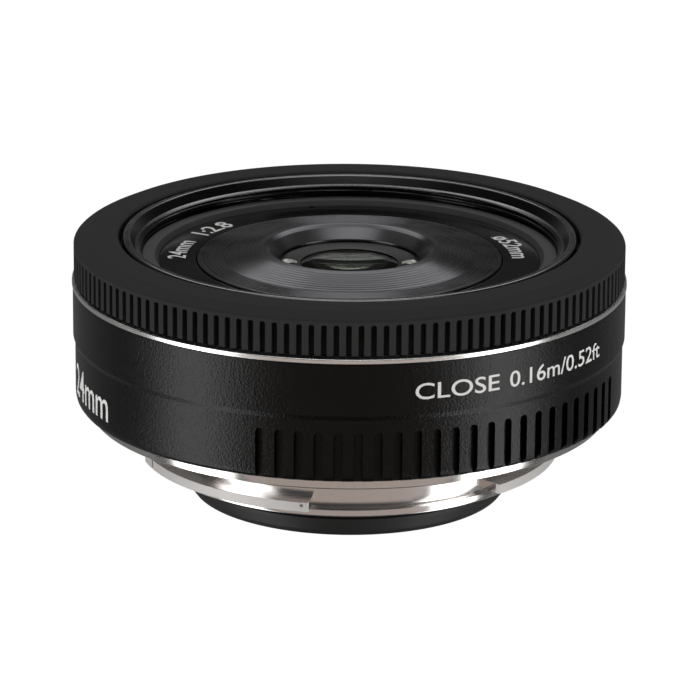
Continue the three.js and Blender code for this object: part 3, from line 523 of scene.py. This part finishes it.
def outer_shell():
    slot_half, slot_depth, slot_top, edge = 0.52, 0.8, 7.65, 0.045
    pocket_half, pocket_high = 4.72, 1.95
    outline = rounded([
        (FLANGE_R + 0.15, SHELL_LOW), (33.05, SHELL_LOW, 0.12), (33.4, 1.55, 0.2),
        (33.65, 1.9, 0.3), (LOWER_R, 2.4, 0.4), (LOWER_R, 9.1, 0.35), (SHELL_R, 9.75, 0.35),
        (SHELL_R, SHELL_HIGH, 0.1), (32.5, SHELL_HIGH, 0.05), (32.5, 2.0), (FLANGE_R + 0.15, 2.0),
    ])
    round_end = (slot_top - 0.65, slot_top + 0.1)
    outline = refined(split_at(outline, *round_end), 0.05, *round_end)
    pocket_edges = [SWITCH_Z + side * (pocket_high + step) for side in (-1, 1)
                    for step in (-0.06, -0.02, 0.02, 0.06)]
    outline = split_at(outline, *pocket_edges)
    outline = refined(split_at(outline, INDEX_Z + 0.9), 0.08, INDEX_Z - 0.85, INDEX_Z + 0.9)
    outline = refined(outline, 0.8)

    def shape(azimuths, radii, heights):
        away = from_nearest(azimuths, GRIP_AZIMUTHS, LOWER_R)
        limit = LOWER_R + 1 - (1 + slot_depth) * round_topped(away, heights, slot_half, slot_top, edge)
        along = from_nearest(azimuths, [SWITCH_AZIMUTH], SHELL_R)
        beyond = np.maximum(along - pocket_half, np.abs(heights - SWITCH_Z) - pocket_high)
        window = SHELL_R + 1 - 2.4 * (1 - smoothstep(-0.06, 0.06, beyond))
        dot = np.hypot(from_nearest(azimuths, [INDEX_AZIMUTH], LOWER_R), heights - INDEX_Z)
        pocket = LOWER_R + 1 - 1.6 * (1 - smoothstep(0.74, 0.84, dot))
        outside = radii > 32.6
        floor = np.where(window < SHELL_R, 32.62, 0)
        lowered = np.maximum(np.minimum(np.minimum(limit, window), pocket), floor)
        return np.where(outside, np.minimum(radii, lowered), radii), heights

    azimuths = clustered(GRIP_AZIMUTHS, 0.88, 0.08, 14, 1.5)
    pocket_angle = math.degrees(pocket_half / SHELL_R) + np.array([-0.12, -0.04, 0.04, 0.12])
    pocket = SWITCH_AZIMUTH + np.concatenate([-pocket_angle, pocket_angle])
    dot = INDEX_AZIMUTH + np.linspace(-1.6, 1.6, 28)
    azimuths = np.unique(np.concatenate([azimuths, pocket, dot]).round(6))
    return turned("barrel_casing", outline, azimuths, shape, sharp=40)


def trim_ring():
    return turned("trim_band", rounded([
        (32.6, TRIM_LOW), (TRIM_R, TRIM_LOW, 0.12), (TRIM_R, TRIM_HIGH - 0.24, 0.15),
        (32.8, TRIM_HIGH, 0.05), (32.6, TRIM_HIGH),
    ], steps=6))


def focus_ring():
    bore, floor_depth, slot_top, edge = 30.9, 0.9, 20.8, 0.05
    pitch = 360 / KNURL_RIBS
    slot_half = 0.35
    outline = rounded([
        (28.35, 20.95, 0.05), (bore, 20.95), (bore, RING_LOW, 0.05), (RING_R, RING_LOW, 0.1),
        (RING_R, 21.2, 0.15), (33.6, 21.42, 0.2), (32.1, 22.1, 0.25), (31.8, RING_HIGH, 0.25),
        (28.6, RING_HIGH, 0.12), (28.35, 21.95, 0.05),
    ])
    round_end = (slot_top - 0.5, slot_top + 0.1)
    outline = refined(split_at(outline, *round_end), 0.05, *round_end)
    outline = refined(outline, 0.9)
    centres = np.arange(KNURL_RIBS) * pitch

    def shape(azimuths, radii, heights):
        away = from_nearest(azimuths, centres, RING_R)
        inside = round_topped(away, heights, slot_half, slot_top, edge)
        limit = RING_R + 1 - (1 + floor_depth) * inside
        return np.where(radii > 32, np.minimum(radii, limit), radii), heights

    half = slot_half / RING_R / math.radians(1)
    edges = np.array([-1.16, -1.0, -0.84, -0.5, 0.0, 0.5, 0.84, 1.0, 1.16]) * half
    azimuths = np.concatenate([c + np.concatenate([edges, [pitch / 2]]) for c in centres])
    return turned("manual_focus_ring", outline, np.sort(azimuths), shape, sharp=40)


# ------------------------------------------------------------------ rear end


def bayonet():
    """Flange and tube in one turning; the lugs are where the turning keeps its full radius."""
    tube_r, foot_r, foot_low, foot_high = 23.8, 23.4, -5.4, -4.3
    lug_r, lug_low, lug_high, ease = 26.0, -5.15, -3.95, 0.07
    outline = rounded([
        (22.4, -6.4, 0.1), (tube_r, -6.4, 0.25), (tube_r, -5.5, 0.05), (foot_r, foot_low),
        (foot_r + 0.09, lug_low), (lug_r, lug_low, ease), (lug_r, foot_high), (lug_r, lug_high, ease),
        (tube_r, lug_high), (tube_r, 0), (FLANGE_R, 0, 0.2), (FLANGE_R, FLANGE_THICK, 0.1),
        (22.4, FLANGE_THICK),
    ])

    lugs = [(first % 360, last % 360) for first, last in LUGS + (STOP_BLOCK,)]
    blend = 0.1

    def shape(azimuths, radii, heights):
        share = 0.0
        for first, last in lugs:
            begun = smoothstep(first - blend, first + blend, azimuths % 360)
            ended = smoothstep(last - blend, last + blend, azimuths % 360)
            share = share + begun * (1 - ended)
        behind = np.interp(heights, [foot_low, foot_high], [foot_r, tube_r])
        in_lug = (radii > tube_r + 0.01) & (heights < lug_high + 0.01)
        return np.where(in_lug, behind + (radii - behind) * np.clip(share, 0, 1), radii), heights

    ends = np.concatenate([edge + np.linspace(-blend, blend, 4) for lug in lugs for edge in lug])
    gap = np.abs((ROUND[:, None] - ends[None, :] + 180) % 360 - 180).min(axis=1)
    azimuths = np.unique(np.concatenate([ROUND[gap > 2 * blend], ends]).round(6))
    mount = turned("bayonet_flange", outline, azimuths, shape)
    heads = [shifted(disc(1.45, -1, 0.75), SCREW_CIRCLE_R, azimuth) for azimuth in SCREW_AZIMUTHS]
    lock_pin_hole = shifted(disc(1.3, -1, 1.1), 29.2, 80)
    cut(mount, merged(*heads, lock_pin_hole))
    through = [shifted(disc(0.85, 0.5, 3), SCREW_CIRCLE_R, azimuth) for azimuth in SCREW_AZIMUTHS]
    lug_dimple = facing_out(disc(0.22, 25.7, 27), -12.3, -4.35)
    cut(mount, merged(*through, lug_dimple))
    stand_for(mount, "bayonet_mount")

    def on_lug(centre):
        return centre.xy.length > lug_r - 0.4 and centre.z < lug_high - 0.02

    refinish(mount, "lug_sides", on_lug)


def mount_screw(number, azimuth):
    outline = rounded([
        (0, 0.08), (1.05, 0.08, 0.2), (1.3, 0.26, 0.1), (1.3, 0.7, 0.05), (0.7, 0.7),
        (0.7, 2.8, 0.1), (0, 2.8),
    ])
    body = shifted(revolved(outline, SMALL_ROUND), SCREW_CIRCLE_R, azimuth)
    screw = to_object(f"flange_screw_{number}", body)
    for width, depth in ((1.5, 0.32), (0.32, 1.5)):
        cut(screw, shifted(box(width, depth, -1, 0.42), SCREW_CIRCLE_R, azimuth, azimuth))
    return screw


def rear_ring():
    outline = rounded([
        (0, -9.5), (17.0, -9.5), (17.0, REAR_LOW, 0.15), (19.22, REAR_LOW, 0.35), (19.75, -9.6, 0.4),
        (20.2, -8.4, 0.5), (20.3, -7.9, 0.15), (19.7, -7.5, 0.15), (19.9, -6.6, 0.2),
        (22.2, -6.3, 0.08), (22.2, 1.4), (20.9, 1.4), (20.9, -5.7, 0.3), (18.9, -6.3, 0.3),
        (18.4, -8.9), (0, -8.9),
    ])
    ring = turned("rear_guard_ring", outline)
    cut(ring, curved_bar(BACK - 30, BACK + 30, 16.9, 21.0, REAR_LOW - 1, -7.4, bevel=0.2))
    cut(ring, box(25, 17.5, -11, -7))
    return cut(ring, box(8.6, 0.5, -8, -5, y=19.7))


def contact_block():
    block = to_object("contact_carrier", curved_bar(BACK - 29, BACK + 29, 17.15, 20.2, -9.3, -7.5, 0.18))
    holes = [shifted(disc(0.65, -10, -8.4), CONTACT_R, contact_azimuth(i)) for i in range(CONTACTS)]
    return cut(block, merged(*holes))


def contact_azimuth(i):
    return BACK + (i - CONTACTS // 2) * CONTACT_PITCH


def contact_pin(i):
    outline = rounded([(0, -9.6), (0.3, -9.6, 0.2), (0.55, -9.4, 0.12), (0.55, -8.5), (0, -8.5)])
    pin = shifted(revolved(outline, SMALL_ROUND), CONTACT_R, contact_azimuth(i))
    return to_object(f"contact_{i + 1}", pin)


def switch_plate():
    def bar(half_angle, inner, outer, half_height, bevel):
        return curved_bar(SWITCH_AZIMUTH - half_angle, SWITCH_AZIMUTH + half_angle, inner, outer,
                          SWITCH_Z - half_height, SWITCH_Z + half_height, bevel)

    plate = to_object("switch_surround", bar(7.8, 32.75, 33.4, 1.78, 0.12))
    return cut(plate, bar(4.6, 32, 34, 0.7, 0.2))


def mode_switch():
    low, high = SWITCH_AZIMUTH - 4.2, SWITCH_AZIMUTH - 1.2
    knob = curved_bar(low, high, 32.8, 33.7, SWITCH_Z - 0.55, SWITCH_Z + 0.55, 0.1)
    ribs = [curved_bar(a, a + 0.5, 33.5, 34.0, SWITCH_Z - 0.5, SWITCH_Z + 0.5, 0.06)
            for a in np.linspace(low + 0.15, high - 0.65, 4)]
    switch = to_object("focus_mode_switch", knob)
    return cut(switch, merged(*ribs), "UNION")


def mount_index():
    outline = rounded([(0, 33.2), (0.68, 33.2), (0.68, 33.66, 0.15), (0.3, 33.74, 0.5), (0, 33.74)])
    return to_object("white_index_dot", facing_out(revolved(outline, SMALL_ROUND), INDEX_AZIMUTH, INDEX_Z))


# ------------------------------------------------------------------ front group


def filter_barrel():
    """A tube with a bright rounded rim, the filter thread, and a pale shelf down to the name ring."""
    thread_pitch, thread_depth, mean_r = 0.75, 0.36, 25.8
    thread_low, thread_high = 19.66, 20.8
    shelf_high, shelf_r = 19.6, 25.4
    outline = rounded([
        (18.9, 17.65), (27.35, 17.65), (27.35, 12.5), (BARREL_R, 12.5), (BARREL_R, 21.75, 0.15),
        (27.72, BARREL_HIGH, 0.34), (27.0, BARREL_HIGH, 0.3), (26.3, 20.98, 0.08), (26.0, 20.9, 0.04),
        (mean_r, thread_high), (mean_r, thread_low), (shelf_r, shelf_high, 0.1),
        (NAME_R + 0.5, shelf_high, 0.12), (NAME_R + 0.05, NAME_HIGH, 0.05), (NAME_R + 0.05, 18.2),
        (18.9, 18.2),
    ])
    outline = refined(outline, 0.045, thread_low + 0.01, thread_high - 0.01)

    def shape(azimuths, radii, heights):
        phase = (heights / thread_pitch - azimuths / 360) % 1
        ridge = np.abs(phase - 0.5) * 2
        cut_back = thread_depth * smoothstep(0.25, 0.9, ridge) - thread_depth / 2
        threaded = (np.abs(radii - mean_r) < 0.01) & (heights > thread_low) & (heights < thread_high)
        begun = smoothstep(thread_low, thread_low + 0.1, heights)
        ended = smoothstep(thread_high - 0.1, thread_high, heights)
        fade = begun * (1 - ended)
        return np.where(threaded, radii + cut_back * fade, radii), heights

    barrel = turned("filter_thread_barrel", outline, ROUND, shape)
    stand_for(barrel, "filter_barrel")

    def on_edge(centre):
        on_rim = centre.z > BARREL_HIGH - 0.36 and centre.xy.length > 26.9
        over_thread = 20.86 < centre.z < 21.1 and centre.xy.length < 26.38
        return on_rim or over_thread

    refinish(barrel, "rim_edge", on_edge)
    refinish(barrel, "shelf", lambda centre: centre.xy.length < 25.6 and 18.9 < centre.z < 19.7)


def name_ring():
    outline = rectangle(BEZEL_R + 0.15, NAME_R, NAME_LOW, NAME_HIGH, 0.07)
    outline = refined(outline, 0.5, NAME_HIGH - 0.02, NAME_HIGH + 0.02)
    notches = (192, 12)

    def shape(azimuths, radii, heights):
        away = from_nearest(azimuths, notches, NAME_R)
        depth = 0.3 * (1 - smoothstep(0.25, 0.35, away)) * (radii > NAME_R - 0.55)
        return radii, np.where(heights > NAME_LOW + 0.3, heights - depth, heights)

    return turned("lettered_ring", outline, clustered(notches, 0.8, 0.15, 4, 1.2), shape)


def front_bezel():
    """A cone that rises to a rounded lip round the glass, with fine ridges on its outer part."""
    ridge_pitch, ridge_depth = 0.5, 0.07
    foot_r, lip_r = 15.6, 11.2
    foot_z, lip_z, rim_z = BEZEL_HIGH - 1.12, BEZEL_HIGH - 0.1, BEZEL_HIGH - 1.27

    def top(r):
        """Height of the bezel's face before its ridges."""
        return np.interp(r, [lip_r, foot_r, BEZEL_R], [lip_z, foot_z, rim_z])

    ridges = []
    for start in np.arange(BEZEL_R - 0.3, lip_r + ridge_pitch, -ridge_pitch):
        for part, drop in ((0, 0), (0.5, 0), (0.62, 1), (0.84, 1), (1.0, 0)):
            r = start - part * ridge_pitch
            ridges.append((r, top(r) - drop * ridge_depth))
    lip = rounded([
        (lip_r + 0.1, lip_z - 0.02), (lip_r, lip_z, 0.3), (10.4, BEZEL_HIGH + 0.02, 0.45),
        (9.8, 20.1, 0.5), (8.55, 18.85, 0.3), (8.55, 18.6, 0.05), (8.85, 18.6), (8.85, 17.6),
    ], steps=6)
    wall = [(BEZEL_R, 17.6), (BEZEL_R, rim_z - 0.08), (BEZEL_R - 0.08, rim_z)]
    return turned("ridged_bezel", np.concatenate([wall, ridges, lip]))


def front_retainer():
    """A washer on the dome of the glass, with two spanner recesses whose pale, nearly white finish is a
    painted glint.
    """
    recess_r, recess_lift, middle_r = 0.95, 0.15, 7.3
    inner, outer, edge_z, rim_z = 6.0, 8.25, 18.37, 18.6
    ring = turned("front_retainer", rounded([
        (inner, 18.3, 0.02), (outer, 17.95, 0.1), (outer, rim_z, 0.1), (inner, edge_z, 0.02),
    ]))
    stand_for(ring, "front_retaining_ring")
    balls = [polar(middle_r, azimuth) + Vector((0, 0, rim_z + recess_lift)) for azimuth in (90, 270)]
    for place in balls:
        ball = bmesh.new()
        bmesh.ops.create_uvsphere(ball, u_segments=32, v_segments=16, radius=recess_r)
        bmesh.ops.translate(ball, verts=ball.verts, vec=place)
        cut(ring, ball)

    def on_painted_glint(centre):
        return min((centre - place).length for place in balls) < recess_r + 0.01

    # painted glint: the faces inside the spanner recesses get the pale finish in place of reflected light
    refinish(ring, "recess", on_painted_glint)


def rear_retainer():
    """A thin ring with two notches for a spanner."""
    inner, outer, low, high = 7.8, 9.05, -3.3, -2.75
    notches = (90, 270)

    def shape(azimuths, radii, heights):
        away = from_nearest(azimuths, notches, inner)
        depth = 0.25 * (1 - smoothstep(0.4, 0.5, away))
        return radii, np.where(heights < (low + high) / 2, heights + depth, heights)

    outline = refined(rectangle(inner, outer, low, high), 0.2)
    return turned("rear_retainer", outline, clustered(notches, 3.2, 0.5, 5, 2.0), shape)


def front_cell():
    return turned("front_lens_cell", rounded([
        (8.3, 12.2), (9.4, 12.2, 0.1), (9.4, 17.4, 0.1), (8.7, 17.4), (8.7, 18.5, 0.08),
        (8.35, 18.5, 0.05), (8.35, 17.0), (7.4, 17.0, 0.05), (7.4, 16.6, 0.05), (8.3, 16.6),
    ]))


def rear_cell():
    return turned("rear_lens_cell", rounded([
        (9.15, -3.4, 0.1), (10.4, -3.4, 0.15), (10.4, 7.5, 0.1), (13.6, 7.5, 0.1), (13.6, 8.25, 0.1),
        (9.15, 8.25, 0.1),
    ]))


CEMENT_CURVE = 30.0
ELEMENTS = {
    "front_element": (8.2, (16.45, 40.0), (18.85, -30.0)),
    "second_element": (8.2, (12.35, 400.0), (14.35, -25.0)),
    "doublet_front": (9.0, (6.3, CEMENT_CURVE), (7.2, 50.0)),
    "doublet_rear": (9.0, (3.2, 22.0), (6.24, CEMENT_CURVE)),
    "fifth_element": (9.0, (0.4, 40.0), (2.4, -60.0)),
    "rear_element": (9.0, (-2.2, -100.0), (-0.2, -80.0)),
}


def glass_element(node, rim_r, back, front):
    """Glass between two curved faces, each given by its vertex height and radius of curvature."""
    radii = np.linspace(0, rim_r, 24)

    def face(vertex, curve):
        return np.column_stack([radii, vertex + radii ** 2 / (2 * curve)])

    outline = np.concatenate([face(*back), face(*front)[::-1]])
    return turned(node + "_glass", outline, np.linspace(0, 360, 128, endpoint=False), sharp=45)


# ------------------------------------------------------------------ lettering

CAP_SHARE = 0.729  # height of a capital in the built-in font, for a size of 1


def lettering(name, text, cap_height, weight):
    """A bmesh of solid letters, centred on the origin in x with the base line at y = 0."""
    curve = bpy.data.curves.new(name, "FONT")
    curve.body = text
    curve.size = cap_height / CAP_SHARE
    curve.offset = weight
    curve.align_x = "CENTER"
    curve.extrude = 0.03
    curve.resolution_u = 5
    obj = bpy.data.objects.new(name + "_text", curve)
    bpy.context.scene.collection.objects.link(obj)
    bpy.context.view_layer.update()
    mesh = bpy.data.meshes.new_from_object(obj.evaluated_get(bpy.context.evaluated_depsgraph_get()))
    bm = bmesh.new()
    bm.from_mesh(mesh)
    bpy.data.objects.remove(obj)
    bpy.data.curves.remove(curve)
    bpy.data.meshes.remove(mesh)
    bmesh.ops.remove_doubles(bm, verts=bm.verts, dist=1e-4)
    return bm


def on_barrel(name, text, cap_height, radius, from_azimuth, to_azimuth, base_z, weight):
    """Letters that stand 0.03 mm proud of the barrel and fill the space between two azimuths."""
    bm = lettering(name, text, cap_height, weight)
    across = [vertex.co.x for vertex in bm.verts]
    left, right = min(across), max(across)
    for vertex in bm.verts:
        x, y, z = vertex.co
        share = (x - left) / (right - left)
        place = polar(radius + z, from_azimuth + share * (to_azimuth - from_azimuth))
        vertex.co = place + Vector((0, 0, base_z + y))
    return printed(name, bm, "outer_shell")


def on_ring(name, text, cap_height, radius, azimuth, top, weight):
    """Letters on the flat name ring, reading clockwise with their tops outwards."""
    bm = lettering(name, text, cap_height, weight)
    for vertex in bm.verts:
        x, y, z = vertex.co
        place = polar(radius - cap_height / 2 + y, azimuth - math.degrees(x / radius))
        vertex.co = place + Vector((0, 0, top + z))
    return printed(name, bm, "name_ring")


def printed(name, bm, node):
    obj = to_object(name, bm)
    obj.data.materials.append(PRINT_WHITE)
    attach(obj, frame["nodes"][node]["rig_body"])
    return obj


# ------------------------------------------------------------------ stage


def band(tree, value, low, high, soft):
    """1 between two angles, falling softly to 0 outside them."""
    rise = mapped(tree, value, low - soft, low, 0.0, 1.0, smooth=True)
    fall = mapped(tree, value, high, high + soft, 1.0, 0.0, smooth=True)
    return maths(tree, "MULTIPLY", rise, fall)


def softbox(tree, around, elevation, sides, heights, strength):
    """A soft rectangle of light. sides and heights are (from, to, softness) in degrees."""
    area = maths(tree, "MULTIPLY", band(tree, around, *sides), band(tree, elevation, *heights))
    return maths(tree, "MULTIPLY", area, strength)


def studio_light():
    """Two soft panels at the sides, one overhead at the front and back, and a warm table in front."""
    world = bpy.data.worlds.new("studio")
    bpy.context.scene.world = world
    world.use_nodes = True
    tree = world.node_tree
    tree.nodes.clear()
    direction = add_node(tree, "ShaderNodeTexCoord").outputs["Generated"]
    parts = add_node(tree, "ShaderNodeSeparateXYZ", {0: direction})
    x, y, z = parts.outputs
    azimuth = maths(tree, "DEGREES", maths(tree, "ARCTAN2", x, maths(tree, "MULTIPLY", y, -1.0)))
    elevation = maths(tree, "DEGREES", maths(tree, "ARCSINE", z))
    around = maths(tree, "ABSOLUTE", azimuth)
    everywhere = (-1, 181, 1)
    lights = [
        (everywhere, (-91, 91, 1), 0.04),
        ((98, 181, 6), (-50, 8, 5), 0.14),
        ((148, 181, 18), (37, 60, 5), 2.0),
        ((-1, 70, 20), (62, 86, 6), 1.9),
    ]
    white = 0.0
    for sides, heights, strength in lights:
        white = maths(tree, "ADD", white, softbox(tree, around, elevation, sides, heights, strength))
    lean = maths(tree, "MULTIPLY_ADD", elevation, 0.22, 4.0)
    panels = softbox(tree, maths(tree, "ADD", around, lean), elevation, (55, 79, 6), (-55, 12, 14), 3.7)
    white = maths(tree, "ADD", white, panels)
    table = softbox(tree, around, elevation, (-1, 44, 5), (-44, -4, 5), 0.35)
    seen = add_node(tree, "ShaderNodeLightPath").outputs["Is Camera Ray"]
    cold = add_node(tree, "ShaderNodeBackground", {0: (1, 0.995, 0.99, 1), 1: white})
    warm = add_node(tree, "ShaderNodeBackground", {0: (1, 0.84, 0.76, 1), 1: table})
    lit = add_node(tree, "ShaderNodeAddShader", {0: cold.outputs[0], 1: warm.outputs[0]})
    plain = add_node(tree, "ShaderNodeBackground", {0: (1, 1, 1, 1), 1: 1.0})
    shown = add_node(tree, "ShaderNodeMixShader", {0: seen, 1: lit.outputs[0], 2: plain.outputs[0]})
    add_node(tree, "ShaderNodeOutputWorld", {0: shown.outputs[0]})


def floor():
    """A pale table top that only the camera sees."""
    bm = bmesh.new()
    bmesh.ops.create_grid(bm, x_segments=8, y_segments=8, size=1.5)
    mesh = bpy.data.meshes.new("floor")
    bm.to_mesh(mesh)
    bm.free()
    obj = bpy.data.objects.new("floor", mesh)
    bpy.context.scene.collection.objects.link(obj)
    material = bpy.data.materials.new("floor_white")
    material.use_nodes = True
    tree = material.node_tree
    tree.nodes.clear()
    paper = add_node(tree, "ShaderNodeBsdfDiffuse", {0: (0.03, 0.03, 0.03, 1)})
    glow = add_node(tree, "ShaderNodeEmission", {0: (1, 1, 1, 1), 1: 1.0})
    lit = add_node(tree, "ShaderNodeAddShader", {0: paper.outputs[0], 1: glow.outputs[0]})
    clear = add_node(tree, "ShaderNodeBsdfTransparent")
    under = add_node(tree, "ShaderNodeNewGeometry").outputs["Backfacing"]
    shown = add_node(tree, "ShaderNodeMixShader", {0: under, 1: lit.outputs[0], 2: clear.outputs[0]})
    add_node(tree, "ShaderNodeOutputMaterial", {0: shown.outputs[0]})
    mesh.materials.append(material)
    obj.visible_glossy = False
    obj.visible_diffuse = False
    obj.visible_transmission = False
    obj.visible_shadow = False


def camera():
    """A long lens that looks down on the front at a low angle."""
    distance, elevation, roll = 0.6, math.radians(17.65), 0.0076
    target = Vector((0, 0, (FLANGE_LIFT + 7.1) * MM))
    back = Vector((0, -math.cos(elevation), math.sin(elevation)))
    data = bpy.data.cameras.new("camera")
    data.sensor_width = 36
    data.lens = 249.6
    data.shift_x = 0.0017
    data.clip_start, data.clip_end = 0.01, 20
    obj = bpy.data.objects.new("camera", data)
    bpy.context.scene.collection.objects.link(obj)
    obj.location = target + back * distance
    obj.rotation_mode = "QUATERNION"
    obj.rotation_quaternion = (-back).to_track_quat("-Z", "Y") @ Quaternion((0, 0, 1), roll)
    bpy.context.scene.camera = obj


# ------------------------------------------------------------------ assembly

stand_for(outer_shell(), "outer_shell")
stand_for(trim_ring(), "trim_ring")
stand_for(focus_ring(), "focus_ring")
bayonet()
for number, azimuth in enumerate(SCREW_AZIMUTHS, 1):
    stand_for(mount_screw(number, azimuth), f"mount_screw_{number}")
stand_for(rear_ring(), "rear_ring")
stand_for(contact_block(), "contact_block")
for i in range(CONTACTS):
    stand_for(contact_pin(i), f"contact_pin_{i + 1}")
stand_for(switch_plate(), "switch_plate")
stand_for(mode_switch(), "mode_switch")
stand_for(mount_index(), "mount_index")
filter_barrel()
stand_for(name_ring(), "name_ring")
stand_for(front_bezel(), "front_bezel")
front_retainer()
stand_for(rear_retainer(), "rear_retaining_ring")
stand_for(front_cell(), "front_cell")
stand_for(rear_cell(), "rear_cell")
for node, shape in ELEMENTS.items():
    stand_for(glass_element(node, *shape), node)

on_barrel("print_near_limit", "CLOSE", 2.05, SHELL_R, 13.3, 31.5, 11.6, weight=0.015)
on_barrel("print_distances", "0.16m/0.52ft", 2.05, SHELL_R, 34.0, 62.3, 11.6, weight=0.015)
on_barrel("print_focal_length", "24mm", 4.15, LOWER_R, -80.5, -59.0, 3.25, weight=0.03)
on_ring("print_front_focal", "24mm", 2.3, 21.3, 261.5, NAME_HIGH, weight=0.03)
on_ring("print_front_stop", "1:2.8", 2.55, 21.3, 235, NAME_HIGH, weight=0.03)
on_ring("print_filter_size", "ø52mm", 2.4, 21.2, 104.5, NAME_HIGH, weight=0.03)

for node, obj in frame["nodes"].items():
    if not obj.hide_render:
        obj.data.materials.clear()
        obj.data.materials.append(FINISHES[SLOT_OF[node]])

studio_light()
floor()
camera()
bpy.context.scene.view_settings.view_transform = "Standard"
